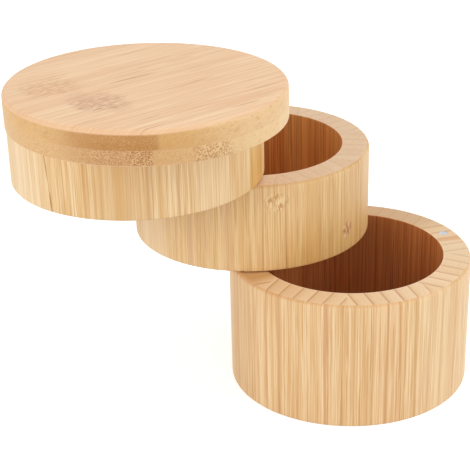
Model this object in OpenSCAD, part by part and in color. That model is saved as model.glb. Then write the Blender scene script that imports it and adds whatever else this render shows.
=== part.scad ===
// Three stacked round bamboo cups and a thick round lid that fan out on one upright pivot line.
// The pivot line runs through the middle of the cups' walls. It is shown fanned out, as in use.
// Each cup's wall is coopered: upright blocks, glued edge to edge in a ring and turned round.
// Origin: centre of the bottom cup's underside. +Z is up, and the pivot line lies on -X.

/* [Cups] */
// Outside radius of the three cups
cup_r = 50; // [42:0.5:65]
// Thickness of the cups' walls
wall = 11.5; // [10.5:0.5:14]
// Height of the bottom cup
bottom_h = 54; // [40:0.5:80]
// Height of the middle cup
middle_h = 37; // [28:0.5:60]
// Height of the top cup
top_h = 36.5; // [28:0.5:60]
// Thickness of the floor disc in each cup
floor_t = 6; // [4:0.5:8]
// Bevel along the outer edge of each cup's foot
cup_bevel = 0.6; // [0.2:0.1:1]
// Bevel along the outer edge of each rim
rim_outer_bevel = 1.1; // [0.4:0.1:2]
// Bevel along the inner edge of each rim
rim_bevel = 0.4; // [0.2:0.1:0.8]
// Glue line round each floor disc
glue_line = 0.05; // [0.02:0.01:0.1]
// Turn of the bottom cup's ring of blocks about its centre, in degrees
bottom_ring_lead = -0.5; // [-12:0.5:12]
// Turn of the middle cup's ring of blocks, in degrees
middle_ring_lead = -6; // [-12:0.5:12]
// Turn of the top cup's ring of blocks, in degrees
top_ring_lead = 7; // [-12:0.5:12]

/* [Lid] */
// How far the lid stands proud of the cups, on the radius
lid_proud = 1; // [0:0.25:3]
// Thickness of the lid's upper ply
upper_ply = 7; // [5:0.5:9]
// Thickness of the lid's lower ply
lower_ply = 5.5; // [5:0.5:9]
// Bevel along the lid's top edge
lid_bevel = 1.5; // [0.4:0.1:2]
// Bevel along the lid's bottom edge
lid_foot_bevel = 0.3; // [0.2:0.1:1]

/* [Pivot] */
// Diameter of the pivot rod
rod_d = 5; // [4:0.1:5.5]
// Running clearance between the rod and its bores, on the radius
rod_fit = 0.05; // [0.02:0.01:0.1]
// Diameter of the rod's head
head_d = 8.5; // [7:0.1:9]
// Height of the rod's head
head_h = 2.8; // [2:0.1:4]
// Gap round the head in its recess
head_room = 0.25; // [0.1:0.05:0.4]
// How far the head sits above the underside of the bottom cup
head_set = 0.6; // [0.3:0.1:1.5]
// Size of the head's hexagon socket across its flats
socket_af = 3; // [2:0.5:3.5]
// Depth of the hexagon socket
socket_deep = 1.6; // [1:0.1:1.8]
// Diameter of the washers between the levels
washer_d = 9; // [8:0.1:10]
// Thickness of the washers
washer_t = 0.35; // [0.2:0.05:1]
// Gap between the rod and the washers' holes
washer_room = 0.1; // [0.05:0.05:0.3]
// Running clearance over each washer and under the rod's head
bearing_gap = 0.05; // [0.02:0.01:0.1]
// Diameter of the threaded insert in the lid
insert_d = 7; // [6.5:0.1:8]
// Length of the threaded insert
insert_l = 8; // [6.5:0.5:8.5]
// Length of rod that is screwed into the insert
rod_grip = 7; // [5:0.5:8]
// Depth left free in the lid above the insert
insert_room = 0.5; // [0.2:0.1:1]
// Clearance of the threads, on the radius
thread_fit = 0.02; // [0.01:0.01:0.05]

/* [Magnets] */
// Diameter of the magnets
magnet_d = 4; // [3:0.1:6]
// Thickness of the magnets
magnet_t = 2; // [1:0.1:3]
// Glue line round and behind each magnet
magnet_fit = 0.05; // [0.02:0.01:0.1]
// How far the magnets sit below the wood's face
magnet_sink = 0.05; // [0.02:0.01:0.3]
// Angle of the magnets off the line from the pivot through the cup's centre, in degrees
magnet_lead = 4.5; // [-15:0.5:15]

/* [Opening] */
// How far the middle cup is swung out over the bottom cup, in degrees
middle_open_deg = 70; // [0:0.5:180]
// How far the top cup is swung out over the middle cup, in degrees
top_open_deg = 77.5; // [0:0.5:180]
// How far the lid is swung out over the top cup, in degrees
lid_open_deg = 53.5; // [0:0.5:180]

/* [Hidden] */
$fn = 96;
hole_fn = 48;
// Cut length that runs clear of a face
past = 1;

bamboo_pale = "#E7C99F";
bamboo_gold = "#D9B07A";
bamboo_peach = "#E8C49C";
bamboo_floor = "#B98754";
steel = "#9A9DA1";
brass = "#C9A75A";
nylon = "#E9E6DC";
nickel = "#C9CBD0";

inner_r = cup_r - wall;
lid_r = cup_r + lid_proud;
// The pivot line and the magnets lie on the middle of the wall
pivot_r = cup_r - wall / 2;
bore_r = rod_d / 2 + rod_fit;
recess_r = head_d / 2 + head_room;
recess_deep = head_set + head_h + bearing_gap;
level_gap = washer_t + bearing_gap;
lid_t = lower_ply + upper_ply;
insert_deep = insert_l + insert_room;

middle_z = bottom_h + level_gap;
top_z = middle_z + middle_h + level_gap;
lid_z = top_z + top_h + level_gap;
// Turn of each level about the pivot line, from the bottom cup
middle_turn = middle_open_deg;
top_turn = middle_turn + top_open_deg;
lid_turn = top_turn + lid_open_deg;

// Blocks in the ring of each cup's wall; one block is centred on the pivot, but for the ring's lead
blocks = 8;
block_deg = 360 / blocks;

// Places a level that is drawn about its own centre, turned about the pivot line and raised to z
module level(turn, z) {
    translate([-pivot_r, 0, z])
        rotate([0, 0, turn])
            translate([pivot_r, 0, 0])
                children();
}

// Places a piece that stands on the pivot line
module on_pivot(z) {
    translate([-pivot_r, 0, z]) children();
}

// Places a piece where a level's magnets sit, in that level's own frame
module at_magnet(z) {
    rotate([0, 0, magnet_lead]) translate([pivot_r, 0, z]) children();
}

// Bore for the pivot rod through a level, in that level's own frame
module rod_bore(h) {
    translate([-pivot_r, 0, -past]) cylinder(h = h + 2 * past, r = bore_r, $fn = hole_fn);
}

// Pocket for a magnet that opens downwards at z
module foot_pocket(z) {
    at_magnet(z - past)
        cylinder(h = past + magnet_sink + magnet_t + magnet_fit, r = magnet_d / 2 + magnet_fit, $fn = hole_fn);
}

// Pocket for a magnet that opens upwards at z
module rim_pocket(z) {
    at_magnet(z - magnet_sink - magnet_t - magnet_fit)
        cylinder(h = past + magnet_sink + magnet_t + magnet_fit, r = magnet_d / 2 + magnet_fit, $fn = hole_fn);
}

// Block number k of a cup's wall, counted from the side across from the pivot, before it is drilled
module plain_block(k, h, lead) {
    rotate([0, 0, (k - 1.5) * block_deg + lead])
        rotate_extrude(angle = block_deg)
            polygon([
                [inner_r, 0],
                [cup_r - cup_bevel, 0],
                [cup_r, cup_bevel],
                [cup_r, h - rim_outer_bevel],
                [cup_r - rim_outer_bevel, h],
                [inner_r + rim_bevel, h],
                [inner_r, h - rim_bevel]
            ]);
}

// Block of a cup that swings; the holes cut only the block that they pass through
module swinging_block(k, h, lead) {
    difference() {
        plain_block(k, h, lead);
        rod_bore(h);
        foot_pocket(0);
        rim_pocket(h);
    }
}

module floor_disc() {
    color(bamboo_floor) cylinder(h = floor_t, r = inner_r - glue_line);
}

module magnet() {
    color(nickel) cylinder(h = magnet_t, d = magnet_d, $fn = hole_fn);
}

module foot_magnet() {
    at_magnet(magnet_sink) magnet();
}

module rim_magnet(h) {
    at_magnet(h - magnet_sink - magnet_t) magnet();
}

module washer() {
    color(nylon) difference() {
        cylinder(h = washer_t, d = washer_d, $fn = hole_fn);
        translate([0, 0, -past])
            cylinder(h = washer_t + 2 * past, r = rod_d / 2 + washer_room, $fn = hole_fn);
    }
}

module bottom_block(k) {
    color(bamboo_pale) difference() {
        plain_block(k, bottom_h, bottom_ring_lead);
        rod_bore(bottom_h);
        rim_pocket(bottom_h);
        translate([-pivot_r, 0, -past]) cylinder(h = past + recess_deep, r = recess_r, $fn = hole_fn);
    }
}

module bottom_floor() {
    floor_disc();
}

module bottom_rim_magnet() {
    rim_magnet(bottom_h);
}

module bottom_washer() {
    on_pivot(bottom_h) washer();
}

module middle_block(k) {
    color(bamboo_gold) level(middle_turn, middle_z) swinging_block(k, middle_h, middle_ring_lead);
}

module middle_floor() {
    level(middle_turn, middle_z) floor_disc();
}

module middle_foot_magnet() {
    level(middle_turn, middle_z) foot_magnet();
}

module middle_rim_magnet() {
    level(middle_turn, middle_z) rim_magnet(middle_h);
}

module middle_washer() {
    on_pivot(middle_z + middle_h) washer();
}

module top_block(k) {
    color(bamboo_pale) level(top_turn, top_z) swinging_block(k, top_h, top_ring_lead);
}

module top_floor() {
    level(top_turn, top_z) floor_disc();
}

module top_foot_magnet() {
    level(top_turn, top_z) foot_magnet();
}

module top_rim_magnet() {
    level(top_turn, top_z) rim_magnet(top_h);
}

module top_washer() {
    on_pivot(top_z + top_h) washer();
}

// Pocket for the threaded insert, in the lid's own frame
module insert_pocket() {
    translate([-pivot_r, 0, -past]) cylinder(h = past + insert_deep, d = insert_d, $fn = hole_fn);
}

module lid_lower_ply() {
    color(bamboo_gold) level(lid_turn, lid_z) difference() {
        rotate_extrude()
            polygon([[0, 0], [lid_r - lid_foot_bevel, 0], [lid_r, lid_foot_bevel], [lid_r, lower_ply], [0, lower_ply]]);
        insert_pocket();
        foot_pocket(0);
    }
}

module lid_upper_ply() {
    color(bamboo_peach) level(lid_turn, lid_z) difference() {
        rotate_extrude()
            polygon([
                [0, lower_ply],
                [lid_r, lower_ply],
                [lid_r, lid_t - lid_bevel],
                [lid_r - lid_bevel, lid_t],
                [0, lid_t]
            ]);
        insert_pocket();
    }
}

module lid_magnet() {
    level(lid_turn, lid_z) foot_magnet();
}

// Threaded insert, flush with the lid's underside
module lid_insert() {
    color(brass) on_pivot(lid_z) difference() {
        cylinder(h = insert_l, d = insert_d, $fn = hole_fn);
        translate([0, 0, -past])
            cylinder(h = insert_l + 2 * past, r = rod_d / 2 + thread_fit, $fn = hole_fn);
    }
}

// Rod with its head in the bottom cup's recess and its end in the lid's insert
module pivot_rod() {
    color(steel) on_pivot(head_set) difference() {
        union() {
            cylinder(h = head_h, d = head_d, $fn = hole_fn);
            cylinder(h = lid_z + rod_grip - head_set, d = rod_d, $fn = hole_fn);
        }
        translate([0, 0, -past]) cylinder(h = past + socket_deep, d = socket_af / cos(30), $fn = 6);
    }
}

for (k = [1 : blocks]) {
    bottom_block(k);
    middle_block(k);
    top_block(k);
}
bottom_floor();
bottom_rim_magnet();
bottom_washer();
middle_floor();
middle_foot_magnet();
middle_rim_magnet();
middle_washer();
top_floor();
top_foot_magnet();
top_rim_magnet();
top_washer();
lid_lower_ply();
lid_upper_ply();
lid_magnet();
lid_insert();
pivot_rod();
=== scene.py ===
# %% [markdown]
# # A swivelling salt box in laminated bamboo
# Three round cups and a lid turn about one steel rod that stands in the wall. In the picture they are
# fanned out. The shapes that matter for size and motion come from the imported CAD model, which is loaded
# first. Everything after that dresses it: each block, floor and disc is remade as a smooth surface, and
# gets a bamboo finish.

from math import cos, pi, radians, sin
from types import SimpleNamespace

import bpy
import numpy as np
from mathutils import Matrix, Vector


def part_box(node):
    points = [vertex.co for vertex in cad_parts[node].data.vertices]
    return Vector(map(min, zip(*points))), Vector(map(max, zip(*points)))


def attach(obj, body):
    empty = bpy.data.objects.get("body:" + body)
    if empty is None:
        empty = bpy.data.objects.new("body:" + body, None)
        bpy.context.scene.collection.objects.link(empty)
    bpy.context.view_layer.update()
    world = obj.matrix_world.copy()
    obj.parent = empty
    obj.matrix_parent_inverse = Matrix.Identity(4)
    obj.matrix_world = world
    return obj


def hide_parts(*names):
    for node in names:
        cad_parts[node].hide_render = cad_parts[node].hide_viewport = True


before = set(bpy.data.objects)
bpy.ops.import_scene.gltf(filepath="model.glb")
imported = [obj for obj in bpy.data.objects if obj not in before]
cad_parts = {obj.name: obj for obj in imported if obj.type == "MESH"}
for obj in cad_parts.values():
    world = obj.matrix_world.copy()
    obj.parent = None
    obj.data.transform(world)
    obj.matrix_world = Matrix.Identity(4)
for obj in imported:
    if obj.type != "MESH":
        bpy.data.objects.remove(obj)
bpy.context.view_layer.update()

# %% [markdown]
# ## Sizes of the box
# Blender works in metres, so millimetres are multiplied by one named value. A cup is 100 mm across with an
# 11.5 mm wall. Heights aren't typed in again: they are read from the CAD nodes, so the two can't drift apart.

# %% Sizes and the places of the four levels
MM = 0.001
CUP_RADIUS = 50 * MM
WALL = 11.5 * MM
HOLLOW_RADIUS = CUP_RADIUS - WALL
LID_RADIUS = 51 * MM
PIVOT_RADIUS = CUP_RADIUS - WALL / 2
BLOCKS = 8
STRIP = 6.2 * MM
ROUNDING = {"foot": 0.6 * MM, "rim_outer": 1.6 * MM, "rim_inner": 0.4 * MM,
            "lid_top": 1.9 * MM, "lid_foot": 0.3 * MM}

TURN = {"bottom": 0, "middle": radians(70), "top": radians(147.5), "lid": radians(201)}
RING_LEAD = {"bottom": radians(-0.5), "middle": radians(-6), "top": radians(7)}


def level_centre(level):
    """Centre of a level: the pivot line, plus the pivot radius turned by the level's angle."""
    turn = TURN[level]
    return np.array([-PIVOT_RADIUS + PIVOT_RADIUS * cos(turn), PIVOT_RADIUS * sin(turn)])


def place(level, points):
    """Own-frame points carried into the part's frame: turn about the level's centre line, then move to it."""
    c, s = cos(TURN[level]), sin(TURN[level])
    moved = np.array(points, float)
    moved[..., 0] = points[..., 0] * c - points[..., 1] * s + level_centre(level)[0]
    moved[..., 1] = points[..., 0] * s + points[..., 1] * c + level_centre(level)[1]
    return moved


for level in TURN:
    print(f"{level:7s} centre {level_centre(level)[0] / MM:7.2f} {level_centre(level)[1] / MM:7.2f} mm")

# %% [markdown]
# ## One closed skin from a stack of loops
# Every solid here is a stack of closed loops, like the hoops of a paper lantern. If the first and last
# hoops shrink to a point the skin is a closed lump, and if the last hoop meets the first one it is a lump
# with a hole through it. Arrays of points go in, and one mesh comes out. The enclosed volume tells whether
# its faces point outwards.

# %% From loops to a mesh
def enclosed_volume(points, faces):
    """Volume inside a closed mesh: a sixth of the sum of a . (b x c) over its triangles."""
    a, b, c = (points[faces[:, i]] for i in range(3))
    return np.einsum("ij,ij->i", a, np.cross(b, c)).sum() / 6


def closed_stack(name, loops, through=False):
    """Closed surface through a stack of loops, where loops[j, i] is point i of loop j.

    Point i of a loop is joined to point i + 1 and to point i of the next loop. The end loops are single
    points with a fan of triangles round them, or, with through=True, the last loop is joined to the first.
    """
    around = loops.shape[1]
    hoops = loops if through else loops[1:-1]
    points = hoops.reshape(-1, 3)
    i = np.arange(around)
    i_next = (i + 1) % around
    j = np.arange(len(hoops) if through else len(hoops) - 1)[:, None]
    here, there = j * around, (j + 1) % len(hoops) * around
    quads = np.stack([here + i, here + i_next, there + i_next, there + i], -1).reshape(-1, 4)
    triangles = np.vstack([quads[:, [0, 1, 2]], quads[:, [0, 2, 3]]])
    fans = np.zeros((0, 3), int)
    if not through:
        first, last = np.full(around, len(points)), np.full(around, len(points) + 1)
        end = (len(hoops) - 1) * around
        fans = np.vstack([np.stack([first, i_next, i], -1), np.stack([last, end + i, end + i_next], -1)])
        points = np.vstack([points, loops[0, :1], loops[-1, :1]])
    volume = enclosed_volume(points, np.vstack([triangles, fans]))
    if volume < 0:
        quads, fans = quads[:, ::-1], fans[:, ::-1]
    mesh = bpy.data.meshes.new(name)
    mesh.from_pydata(points.tolist(), [], quads.tolist() + fans.tolist())
    mesh.update()
    mesh.shade_smooth()
    mesh.set_sharp_from_angle(angle=radians(35))
    piece = bpy.data.objects.new(name, mesh)
    bpy.context.scene.collection.objects.link(piece)
    print(f"{name}: {len(points)} points, {abs(volume) / MM**3 / 1000:.2f} cm3")
    return piece


def finish_piece(piece, material, body, node):
    """Give a piece its material and the body it rides on, and hide the CAD node it stands for."""
    piece.data.materials.clear()
    piece.data.materials.append(material)
    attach(piece, body)
    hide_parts(node)


# %% [markdown]
# ## Nodes for a finish
# A finish is a small network of nodes. Short helpers keep each later cell readable: one adds any node and
# feeds its inputs, some do arithmetic, and one fades smoothly from 0 to 1 between two values. They all work
# on the network that lies on the bench, and starting a new finish puts its network there.

# %% Colours, and nodes with their inputs wired
def linear(red, green, blue):
    """Shader colour for a colour given as it looks on screen, 0 to 255 (the sRGB curve undone)."""
    c = np.array([red, green, blue]) / 255
    c = np.where(c <= 0.04045, c / 12.92, ((c + 0.055) / 1.055) ** 2.4)
    return (*c.tolist(), 1.0)


def shades(*screen_colours):
    """A list of shader colours."""
    return [linear(*c) for c in screen_colours]


BENCH = SimpleNamespace(tree=None)


def feed(socket, value):
    """Give a socket a number, a colour or the output of another node."""
    if isinstance(value, bpy.types.NodeSocket):
        BENCH.tree.links.new(value, socket)
    else:
        socket.default_value = value


def put(kind, inputs=None, **settings):
    """Add a node with its settings, and feed its named inputs."""
    node = BENCH.tree.nodes.new("ShaderNode" + kind)
    for name, value in settings.items():
        setattr(node, name, value)
    for name, value in (inputs or {}).items():
        feed(node.inputs[name], value)
    return node


# %% Arithmetic, fades and tints
def calc(operation, *values):
    """One step of arithmetic on numbers or node outputs."""
    return put("Math", dict(enumerate(values)), operation=operation).outputs[0]


def times(a, b):
    """a times b."""
    return calc("MULTIPLY", a, b)


def times_plus(a, b, c):
    """a times b, plus c."""
    return calc("MULTIPLY_ADD", a, b, c)


def minus(a, b):
    """a minus b."""
    return calc("SUBTRACT", a, b)


def over(a, b):
    """a divided by b."""
    return calc("DIVIDE", a, b)


def squares(a, b):
    """a squared plus b squared."""
    return times_plus(a, a, times(b, b))


def fade(value, start, end, low=0.0, high=1.0):
    """Smooth step: low where value is at start, high where it is at end."""
    settings = {"Value": value, "From Min": start, "From Max": end, "To Min": low, "To Max": high}
    return put("MapRange", settings, interpolation_type="SMOOTHSTEP").outputs[0]


def tint(amount, under, over_it, how="MIX"):
    """Lay one colour over another by an amount from 0 to 1."""
    node = put("Mix", data_type="RGBA", blend_type=how)
    for number, value in ((0, amount), (6, under), (7, over_it)):
        feed(node.inputs[number], value)
    return node.outputs[2]


def layered(colour, *layers):
    """Lay shades over a colour; a layer is (field, its value at the start, when full, strength, shade)."""
    for field, start, full, strength, shade in layers:
        colour = tint(fade(field, start, full, 0.0, strength), colour, shade)
    return colour


# %% Vectors and random fields
def along(x, y, z):
    """Three numbers joined into one vector."""
    return put("CombineXYZ", {"X": x, "Y": y, "Z": z}).outputs[0]


def channels(colour):
    """The three numbers in a colour."""
    return put("SeparateColor", {"Color": colour}).outputs


def cloud(vector, scale=1.0, detail=2.0, rough=0.5):
    """Soft random field from 0 to 1."""
    inputs = {"Vector": vector, "Scale": scale, "Detail": detail, "Roughness": rough}
    return put("TexNoise", inputs).outputs[0]


def random_for(number):
    """A random Value and Color that are the same wherever the number is the same."""
    return put("TexWhiteNoise", {"W": number}, noise_dimensions="1D").outputs


def cells(vector):
    """Scattered points: the Distance to the nearest one, and its random Color."""
    return put("TexVoronoi", {"Vector": vector, "Scale": 1.0}).outputs


# %% A material, its relief and its coordinates
def new_finish(name, **sockets):
    """A new material and its Principled shader; uniform values are set on the shader's own sockets."""
    material = bpy.data.materials.new(name)
    material.use_nodes = True
    BENCH.tree = material.node_tree
    shader = BENCH.tree.nodes["Principled BSDF"]
    for key, value in sockets.items():
        shader.inputs[key.replace("_", " ")].default_value = value
    return material, shader


def coat(shader, colour, roughness, relief, strength, depth):
    """Wire the shader: colour, roughness, and a bump that is depth metres high where relief is 1."""
    bump = put("Bump", {"Height": relief, "Strength": strength, "Distance": depth})
    for name, value in (("Base Color", colour), ("Roughness", roughness), ("Normal", bump.outputs[0])):
        feed(shader.inputs[name], value)


def own_coordinates(level):
    """Object coordinates from a level's own centre line and turned with it, in metres, and the normal."""
    coordinates = put("TexCoord").outputs
    mapping = put("Mapping", {"Vector": coordinates["Object"]}, vector_type="TEXTURE")
    mapping.inputs["Location"].default_value = (*level_centre(level), 0)
    mapping.inputs["Rotation"].default_value = (0, 0, TURN[level])
    axes = put("SeparateXYZ", {"Vector": mapping.outputs[0]}).outputs
    normal = put("SeparateXYZ", {"Vector": coordinates["Normal"]}).outputs
    return axes, normal


# %% [markdown]
# ## Camera, floor and light
# The camera stands where the photographer's stood: a long lens, looking down by about 26 degrees, with the
# frame shifted as a cropped picture's is. The background is a pale floor. For the camera it glows a little,
# so that it comes out white, and it still takes the object's soft shadow. Two large soft lamps and an even
# sky light the object at a plain level: a mid-tone comes out about as it is written in its material.

# %% Levels of light
SKY_LEVEL = 0.78
FLOOR_GLOW = 0.62
LAMPS = [
    ("key_right", (1.1, -0.7, 0.95), 0.9, 7.8),
    ("fill_left", (-1.15, -0.6, 0.4), 0.9, 5.6),
]

# %% Camera
lens = bpy.data.cameras.new("camera")
lens.lens, lens.sensor_width = 103.52, 36.0
lens.shift_x, lens.shift_y = -0.1581, 0.0735
lens.clip_end = 20
camera = bpy.data.objects.new("camera", lens)
camera.location = (-0.18866, -0.47173, 0.29121)
camera.rotation_euler = (radians(64.174), 0, radians(-19.9))
bpy.context.scene.collection.objects.link(camera)
bpy.context.scene.camera = camera
bpy.context.scene.view_settings.view_transform = "Standard"

# %% Floor
def seen_directly():
    """1 for a ray that ends in the camera, straight or by way of a mirror or glass, else 0."""
    path = put("LightPath").outputs
    direct = calc("MAXIMUM", path["Is Camera Ray"], path["Is Glossy Ray"])
    return calc("MAXIMUM", direct, path["Is Transmission Ray"])


floor_finish, shader = new_finish("pale_floor", Base_Color=(0.72, 0.72, 0.72, 1), Roughness=0.9,
                                  Specular_IOR_Level=0.0, Emission_Color=(1, 1, 1, 1))
feed(shader.inputs["Emission Strength"], times(seen_directly(), FLOOR_GLOW))
reach = 6.0
corners = [(-reach, -reach, 0), (reach, -reach, 0), (reach, reach, 0), (-reach, reach, 0)]
floor_mesh = bpy.data.meshes.new("studio_floor")
floor_mesh.from_pydata(corners, [], [(0, 1, 2, 3)])
floor_mesh.materials.append(floor_finish)
floor = bpy.data.objects.new("studio_floor", floor_mesh)
bpy.context.scene.collection.objects.link(floor)

# %% Sky and lamps
world = bpy.data.worlds.new("studio_sky")
bpy.context.scene.world = world
world.use_nodes = True
BENCH.tree = world.node_tree
backdrop = BENCH.tree.nodes["Background"].inputs
backdrop["Color"].default_value = (1, 1, 1, 1)
feed(backdrop["Strength"], times_plus(seen_directly(), 1.0 - SKY_LEVEL, SKY_LEVEL))


def soft_lamp(name, position, aim, width, watts):
    """Square area lamp at a position, turned to face a point."""
    light = bpy.data.lights.new(name, "AREA")
    light.shape, light.size, light.energy = "SQUARE", width, watts
    lamp = bpy.data.objects.new(name, light)
    lamp.location = position
    lamp.rotation_euler = (Vector(aim) - Vector(position)).to_track_quat("-Z", "Y").to_euler()
    bpy.context.scene.collection.objects.link(lamp)


box_middle = (-0.04, 0.01, 0.06)
for lamp_name, spot, width, watts in LAMPS:
    soft_lamp(lamp_name, spot, box_middle, width, watts)
print("camera", tuple(round(c, 4) for c in camera.location), "lamps", [n for n, *_ in LAMPS])

# %% [markdown]
# ## Bamboo for the cup walls
# A cup's ring is glued up from eight blocks, and each block from upright strips about 6 mm thick. The
# strips lie parallel inside a block, so on the rim their glue lines fan only from block to block. The
# finish works this out from the place of each point: its block, its strip, and how far it is from the
# nearest glue line. Fibres run upright, so every fine field is squeezed sideways and stretched along the
# height: the same field then draws hairlines on the sides and dots on the rim, as the cut ends of real
# fibres do.

# %% Widths and lengths of the fibres, and a place among them
WANDER, WANDER_WIDTH = 0.6 * MM, 2.5 * MM
# Each kind of fibre has a width, a length and, after the first, an offset that gives it a field of its own
BANDS, HAIRS, FINE_HAIRS = (2.4 * MM, 160 * MM), (0.36 * MM, 60 * MM, 5.0), (0.21 * MM, 24 * MM, 8.0)
BUNDLES, KNUCKLE_FLECKS = (0.7 * MM, 60 * MM, 9.0), (0.6 * MM, 2.6 * MM, 3.0)
# Each kind of thread has a spacing, a half width, a seed and a share of the strength
THREAD_KINDS = [(1.25 * MM, 0.16 * MM, 11.3, 1.0), (3.1 * MM, 0.3 * MM, 29.6, 0.9)]


def fibres(at, width, length, offset=0.0):
    """Place among fibres: (across / width + slip, outward / width + offset, z / length)."""
    return along(times_plus(at.across, 1 / width, at.slip),
                 times_plus(at.outward, 1 / width, offset), over(at.z, length))


# %% Where a point of a wall lies
def wall_places(level, first_line, line_drift, seed):
    """Fields for the place of a point in the ring, in its block, in its strip and among the fibres.

    Block number = floor of the angle in eighths of a turn. Inside a block, across = r sin(angle from its
    middle) and outward = r cos(the same angle). Strip number = floor((across - shift) / strip width), where
    the shift is first_line and grows by line_drift from block to block. seed picks the random tone of each
    strip.
    """
    at = SimpleNamespace()
    (x, y, at.z), (_, _, up) = own_coordinates(level)
    at.angle = calc("ARCTAN2", y, x)
    at.radius = calc("SQRT", squares(x, y))
    eighth = times_plus(at.angle, BLOCKS / (2 * pi), 0.5 - RING_LEAD[level] * BLOCKS / (2 * pi))
    eighth = calc("FLOORED_MODULO", eighth, BLOCKS)
    block = calc("FLOOR", eighth)
    turn = times(minus(calc("FRACT", eighth), 0.5), 2 * pi / BLOCKS)
    across = times(at.radius, calc("SINE", turn))
    outward = times(at.radius, calc("COSINE", turn))
    at.level_share = calc("ABSOLUTE", up)
    at.on_rim = fade(at.level_share, 0.88, 0.98)

    # On the outside a fibre seen on the side runs on over the rounded edge, in its own plane
    on_outside = fade(at.radius, PIVOT_RADIUS, PIVOT_RADIUS + 1 * MM)
    on_outside = times(on_outside, minus(1.0, at.on_rim))
    full_outward = calc("SQRT", times_plus(across, times(across, -1.0), CUP_RADIUS**2))
    at.outward = times_plus(minus(full_outward, outward), on_outside, outward)

    # Strips and the glue between them; a block's strips are counted on from 17 times its number
    shift = times_plus(block, line_drift / STRIP, first_line / STRIP)
    place_in_strips = minus(over(across, STRIP), shift)
    strip = times_plus(block, 17.0, calc("FLOOR", place_in_strips))
    at.in_strip = calc("FRACT", place_in_strips)
    at.to_glue = times(calc("PINGPONG", place_in_strips, 0.5), STRIP)
    strip_random = random_for(calc("ADD", strip, seed))
    at.draw = strip_random["Value"]
    at.draws = channels(strip_random["Color"])

    # Fibres wander a little, and each strip shows another part of the same field
    at.slip = times(at.draw, 37.0)
    wander = times_plus(across, 1 / WANDER_WIDTH, at.slip)
    wander = cloud(along(wander, over(at.outward, WANDER_WIDTH), over(at.z, 16 * MM)), detail=1.0)
    at.across = times_plus(minus(wander, 0.5), WANDER, across)
    at.hairs = cloud(fibres(at, *HAIRS), detail=1.5, rough=0.6)
    bands = cloud(fibres(at, *BANDS), detail=2.0)
    at.tone = times_plus(at.draw, 0.16, minus(bands, 0.08))
    at.bundles = cells(fibres(at, *BUNDLES))
    at.dot = fade(at.bundles["Distance"], 0.45, 0.15)
    return at


# %% [markdown]
# The sides get their colour in layers, from wide to fine: a tone for each strip, soft bands, dark and light
# hairlines, thin threads that come and go, the glue, the stripes that this cup shows at known angles, and
# last a painted shade over the rounded edges.

# %% Colour of the sides
def threads_shown(at, cell, half_width, seed, strength, run_length):
    """Amount of thin dark lines: one in each cell, at a random place in it, that fades in and out upwards."""
    place_in_cells = times_plus(at.across, 1 / cell, at.slip)
    number = calc("FLOOR", place_in_cells)
    chance = channels(random_for(calc("ADD", number, seed))["Color"])
    off = minus(calc("FRACT", place_in_cells), times_plus(chance[0], 0.5, 0.25))
    off = times(calc("ABSOLUTE", off), cell)
    thread = fade(off, half_width, half_width * 0.5, 0.0, strength)
    run = cloud(along(times(number, 3.7), at.slip, over(at.z, run_length)), detail=1.0)
    shown = times(fade(run, 0.35, 0.6), fade(chance[1], 0.2, 0.9))
    return times(thread, shown)


def side_colour(at, tones, glue, rim_line, threads, stripes):
    """Colour of the outside: soft bands, hairlines, threads, glue, stripes at their own angles, and painted
    shade on the rounded edges.

    A stripe's angle is its own degrees plus its lean times the height, and it wavers with the hairlines.
    """
    pale, golden, pink, dark, light = tones
    fine_hairs = cloud(fibres(at, *FINE_HAIRS), detail=1.0)
    side = layered(pale, (at.tone, 0.38, 0.66, 1.0, golden), (at.draws[1], 0.6, 1.0, 0.35, pink),
                   (at.hairs, 0.52, 0.68, 0.55, dark), (at.hairs, 0.47, 0.34, 0.4, light),
                   (fine_hairs, 0.51, 0.66, 0.5, dark), (fine_hairs, 0.47, 0.36, 0.35, light))
    strength, run_length = threads
    for cell, half_width, seed, share in THREAD_KINDS:
        shown = threads_shown(at, cell, half_width, seed, strength * share, run_length)
        side = tint(shown, side, dark)
    on_glue = fade(at.to_glue, 0.3 * MM, 0.0)
    on_glue = times(on_glue, fade(at.draws[0], 0.3, 1.0, 0.0, 0.6 * rim_line))
    side = tint(on_glue, side, glue)
    for degrees, half_width, strength, stripe_colour, lean in stripes:
        off = minus(at.angle, times_plus(at.z, lean, radians(degrees)))
        off = calc("PINGPONG", times_plus(minus(at.hairs, 0.5), 0.045, off), pi)
        band = fade(off, radians(half_width), radians(half_width) * 0.4, 0.0, strength)
        side = tint(band, side, stripe_colour)
    # Painted shade: the side darkens where it rounds over towards the rim and the foot.
    return layered(side, (at.level_share, 0.05, 0.8, 0.4, dark))


# %% [markdown]
# The rim is end grain: cream, with a dot for each bundle of fibres, and darker beside the brown glue lines.
# Its inner edge is paler: a painted highlight on the eased edge. Inside the hollow the wood is painted darker
# and redder, as painted shade.

# %% Colours of the rim and the hollow
def rim_colour(at, rim, glue, rim_line, rim_dots):
    """Colour of the rim, with a painted highlight at its inner edge: rim_line is the strength of the glue lines
    and rim_dots that of the cut fibres.
    """
    cream, brown, tan, pale_grain_and_highlight = rim
    end = layered(cream, (at.in_strip, 0.45, 0.0, 0.62 * rim_line, brown),
                  (at.in_strip, 0.6, 1.0, 0.6 * rim_line, pale_grain_and_highlight))
    end = tint(times(at.draws[2], 0.5), end, tan)
    dot_strength = times_plus(channels(at.bundles["Color"])[0], rim_dots, 0.05)
    end = tint(times(at.dot, dot_strength), end, brown)
    end = layered(end, (at.hairs, 0.5, 0.68, 0.45, brown))
    glue_half_width = times_plus(at.draws[1], 0.25 * MM, 0.36 * MM)
    on_glue = fade(minus(glue_half_width, at.to_glue), 0.0, 0.28 * MM, 0.0, rim_line)
    end = tint(times(on_glue, times_plus(at.draws[0], 0.4, 0.6)), end, glue)
    # Painted highlight: the rim goes paler towards its inner edge.
    return layered(end, (at.radius, HOLLOW_RADIUS + 1.1 * MM, HOLLOW_RADIUS + 0.3 * MM, 0.6, pale_grain_and_highlight))


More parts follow.
